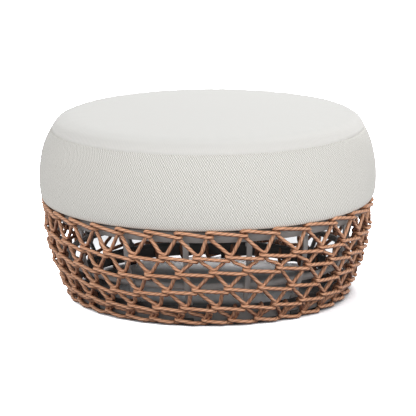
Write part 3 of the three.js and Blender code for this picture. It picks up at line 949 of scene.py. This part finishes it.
def coverStations(total, seamAt):
    places = {seamAt + side * gap for gap in rings["close"] for side in (-1, 1)}
    place = seamAt - rings["closeReach"]
    while place > 0:
        places.add(place)
        place -= rings["sideStep"] if place > rings["sideFrom"] else rings["baseStep"]
    place = seamAt + rings["closeReach"]
    while place < total - rings["endRoom"]:
        places.add(place)
        place += rings["shoulderStep"] if place < seamAt + rings["shoulder"] else rings["crownStep"]
    return np.array(sorted(places | {0.0, total}))


# Cloth copy of the cover, held at its seam and its base, and blown up by the filling
def filledPush(mesh, places, normals, station):
    small = places - normals * filling["shrink"]
    rough = mesh.copy()
    rough.vertices.foreach_set("co", (small * mm).ravel())
    shell = addObject("cover_shell", rough)
    remesh = shell.modifiers.new("even", "REMESH")
    remesh.mode = "VOXEL"
    remesh.voxel_size = filling["voxel"] * mm
    even = bakedMesh(shell)
    cloth = addObject("cover_cloth", even)
    rest = [vertex.co.copy() for vertex in even.vertices]
    held = cloth.vertex_groups.new(name="held")
    heldBelow = cushion["base"][0][1] + filling["hold"]
    for i, place in enumerate(rest):
        section = (math.hypot(place.x, place.y) / mm, place.z / mm)
        if math.dist(section, cushion["seam"]) < filling["hold"] or section[1] < heldBelow:
            held.add([i], 1, "REPLACE")
    body = cloth.modifiers.new("cloth", "CLOTH")
    settings = body.settings
    settings.quality = filling["quality"]
    settings.mass = filling["mass"]
    settings.tension_stiffness = filling["stiffness"]
    settings.compression_stiffness = filling["stiffness"]
    settings.use_pressure = True
    settings.uniform_pressure_force = filling["pressure"]
    settings.vertex_group_mass = "held"
    settings.effector_weights.gravity = 0
    body.point_cache.frame_start = 1
    body.point_cache.frame_end = filling["frames"]
    for step in range(1, filling["frames"] + 1):
        bpy.context.scene.frame_set(step)
    blown = evaluated(cloth).to_mesh()
    shifts = np.array([tuple(vertex.co - place) for vertex, place in zip(blown.vertices, rest)]) / mm
    lengths = np.linalg.norm(shifts, axis=1)
    shifts *= np.minimum(1, filling["cap"] / np.maximum(lengths, 1e-6))[:, None]
    usual = float(np.percentile(lengths, filling["usual"]))
    shifts *= min(1, (filling["shrink"] + filling["fullness"]) / max(usual, 1e-6))
    print("cloth moved", round(usual, 2), "mm over", len(rest), "points")
    bpy.data.objects.remove(cloth)
    bpy.context.scene.frame_set(1)
    tree = kdtree.KDTree(len(rest))
    for i, place in enumerate(rest):
        tree.insert(place, i)
    tree.balance()
    out = np.empty(len(places))
    for i, place in enumerate(small):
        near = tree.find_n(Vector(place) * mm, filling["near"])
        weights = np.array([1 / (distance + filling["blend"]) for _, _, distance in near])
        out[i] = (shifts[[index for _, index, _ in near]] @ normals[i] * weights).sum() / weights.sum()
    # The outline already has the filling's mean, so only what differs round the cushion is kept
    sums = np.bincount(station, out) / np.maximum(np.bincount(station), 1)
    push = np.clip(out - sums[station], -filling["most"], filling["most"])
    print("cover uneven by", round(float(np.std(push)), 2), "mm, most", round(float(np.abs(push).max()), 2))
    return push


def makeCover(fabric):
    line, lengths, seamAt = coverLine()
    stations = coverStations(lengths[-1], seamAt)
    radii = np.interp(stations, lengths, line[:, 0])
    heights = np.interp(stations, lengths, line[:, 1])
    bm = bmesh.new()
    points, edges = outlineIn(bm, zip(radii, heights), closed=False)
    spinRound(bm, points + edges, fullTurn, cushion["steps"])
    bmesh.ops.remove_doubles(bm, verts=bm.verts, dist=cushion["merge"] * mm)
    bmesh.ops.recalc_face_normals(bm, faces=bm.faces)
    bm.normal_update()
    mesh = meshFrom(bm, "cushion_cover")

    count = len(mesh.vertices)
    places = np.empty(count * 3)
    mesh.vertices.foreach_get("co", places)
    places = places.reshape(-1, 3) / mm
    radius, angle = polar(places)
    gaps = (radius[:, None] - radii[None]) ** 2 + (places[:, 2][:, None] - heights[None]) ** 2
    station = np.argmin(gaps, 1)
    along = stations[station]
    fromSeam = along - seamAt
    out, up = np.gradient(heights, stations), -np.gradient(radii, stations)
    steep = np.hypot(out, up)
    out, up = (out / steep)[station], (up / steep)[station]
    normals = np.stack([out * np.sin(angle), -out * np.cos(angle), up], 1)
    filled = filledPush(mesh, places, normals, station)
    lipRise = cushion["lip"] * np.exp(-((np.abs(fromSeam) - cushion["lipPlace"]) / cushion["lipWidth"]) ** 2)
    push = lipRise - cushion["seamDepth"] * np.exp(-(fromSeam / cushion["seamWidth"]) ** 2)
    fade = cushion["pucker"] * np.exp(-np.abs(fromSeam) / cushion["puckerReach"])
    reach, pitch = cushion["seam"][0], cushion["puckerPitch"]
    for i in np.nonzero(fade > cushion["puckerLeast"])[0]:
        around = (math.sin(angle[i]) * reach / pitch, math.cos(angle[i]) * reach / pitch)
        waver = noise.noise(Vector((*around, cushion["puckerStretch"] * fromSeam[i])))
        push[i] += fade[i] * waver * cushion["puckerGain"]
    shift = Vector((cushion["unevenShift"], 0, 0))
    loose = np.array([noise.noise(Vector(place) / cushion["unevenPitch"] + shift) for place in places])
    loose *= np.clip((places[:, 2] - cushion["unevenFrom"]) / cushion["unevenReach"], 0, 1)
    push += cushion["unevenness"] * loose
    places += normals * (push + filled)[:, None]
    # The crown sits a little to the right on the band
    over = np.clip((places[:, 2] - cushion["leanFrom"]) / cushion["leanReach"], 0, 1)
    places[:, 0] += cushion["lean"] * over * over * (3 - 2 * over)
    mesh.vertices.foreach_set("co", (places * mm).ravel())

    # The cloth's own coordinates: round and up the band, or straight across the crown and the base
    corners = np.empty(len(mesh.loops), dtype=np.int64)
    mesh.loops.foreach_get("vertex_index", corners)
    owner = np.repeat(np.arange(len(mesh.polygons)), [len(face.vertices) for face in mesh.polygons])
    middle = np.array([tuple(face.center) for face in mesh.polygons]) / mm
    faceRadius, faceAngle = polar(middle)
    onBand = (middle[:, 2] < cushion["seam"][1]) & (faceRadius > cushion["bandInner"])
    turn = angle[corners]
    turn += fullTurn * np.round((faceAngle[owner] - turn) / fullTurn)
    flat = np.stack([places[corners, 0], places[corners, 1], np.zeros(len(corners))], 1)
    mark = np.full(len(corners), float(cushion["bandMark"]))
    wrapped = np.stack([turn * cushion["bandReach"], along[corners], mark], 1)
    setAttribute(mesh, "clothSpace", "CORNER", np.where(onBand[owner][:, None], wrapped, flat) * mm)
    nodes = ["cushion_core", "cover_base", "cover_band", "cover_top"]
    cover = addPiece(mesh, "cushion_cover", fabric, "cushion", nodes)


# Zip round the back of the cushion's foot. Pieces of the pull are given as size, rise and place outwards.
zipper = {
    "low": 250, "high": 263.5, "rows": 6, "lift": 0.35, "thick": 1.1, "turn": 106, "steps": 90, "sharp": 30,
    "sideInner": 360, "sideTop": 330, "tooth": (1.3, 1.0, 4.4), "toothPitch": 2.5, "toothLift": 0.2,
    "stagger": 0.6, "endTeeth": 2, "pull": [((9, 3.4, 10), 0, 1.7), ((5.4, 1.5, 15), -4, 4.2)],
    "pullRound": 0.6, "pullParts": 3, "pullSharp": 40,
}


def makeZip(tape, metal):
    line = coverLine()[0]
    side = line[(line[:, 0] > zipper["sideInner"]) & (line[:, 1] < zipper["sideTop"])]

    def coverRadius(height):
        return float(np.interp(height, side[:, 1], side[:, 0]))

    half = math.radians(zipper["turn"]) / 2
    rows = np.linspace(zipper["low"], zipper["high"], zipper["rows"])
    near = [(coverRadius(height) + zipper["lift"], height) for height in rows]
    far = [(radius + zipper["thick"], height) for radius, height in near]
    bm = bmesh.new()
    points, edges = outlineIn(bm, far + near[::-1])
    first = bm.faces.new(points)
    turnAbout(bm, points, math.pi / 2 - half)
    spinRound(bm, [first] + edges + points, 2 * half, zipper["steps"])
    bmesh.ops.recalc_face_normals(bm, faces=bm.faces)

    def addBlock(bm, size, out, height):
        block = bmesh.ops.create_cube(bm, size=1)["verts"]
        bmesh.ops.scale(bm, verts=block, vec=Vector(size) * mm)
        bmesh.ops.translate(bm, verts=block, vec=Vector((0, reach + out, height)) * mm)
        return block

    height = (zipper["low"] + zipper["high"]) / 2
    reach = coverRadius(height) + zipper["lift"] + zipper["thick"]
    teeth = int(2 * half * reach / zipper["toothPitch"]) - zipper["endTeeth"]
    for tooth in range(teeth):
        stagger = zipper["stagger"] if tooth % 2 else -zipper["stagger"]
        block = addBlock(bm, zipper["tooth"], zipper["toothLift"], height + stagger)
        turnAbout(bm, block, (tooth - (teeth - 1) / 2) * zipper["toothPitch"] / reach)
    tapeMesh = meshFrom(bm, "cover_zip")
    addPiece(tapeMesh, "cover_zip", tape, "cushion", ["zip_tape"], zipper["sharp"])

    bm = bmesh.new()
    for size, rise, out in zipper["pull"]:
        addBlock(bm, size, out, height + rise)
    roundEdges(bm, bm.edges[:], zipper["pullRound"], zipper["pullParts"])
    middle = middleOf("zip_pull")
    turnAbout(bm, bm.verts, math.atan2(-middle.x, middle.y))
    pullMesh = meshFrom(bm, "cover_zip_pull")
    addPiece(pullMesh, "cover_zip_pull", metal, "cushion", ["zip_pull"], zipper["pullSharp"])


makeCamera()
makeStage()
print("stage done")
coat = metalMaterial("frame")
makeWeave()
makeRings(coat, metalMaterial("foot"))
makeRibs(coat)
makeDeck(coat)
makeGlides(grainMaterial("glide_moulding"))
print("frame done")
makeCover(clothMaterial())
makeZip(grainMaterial("zip_cloth"), pullMaterial())
print("cushion done")
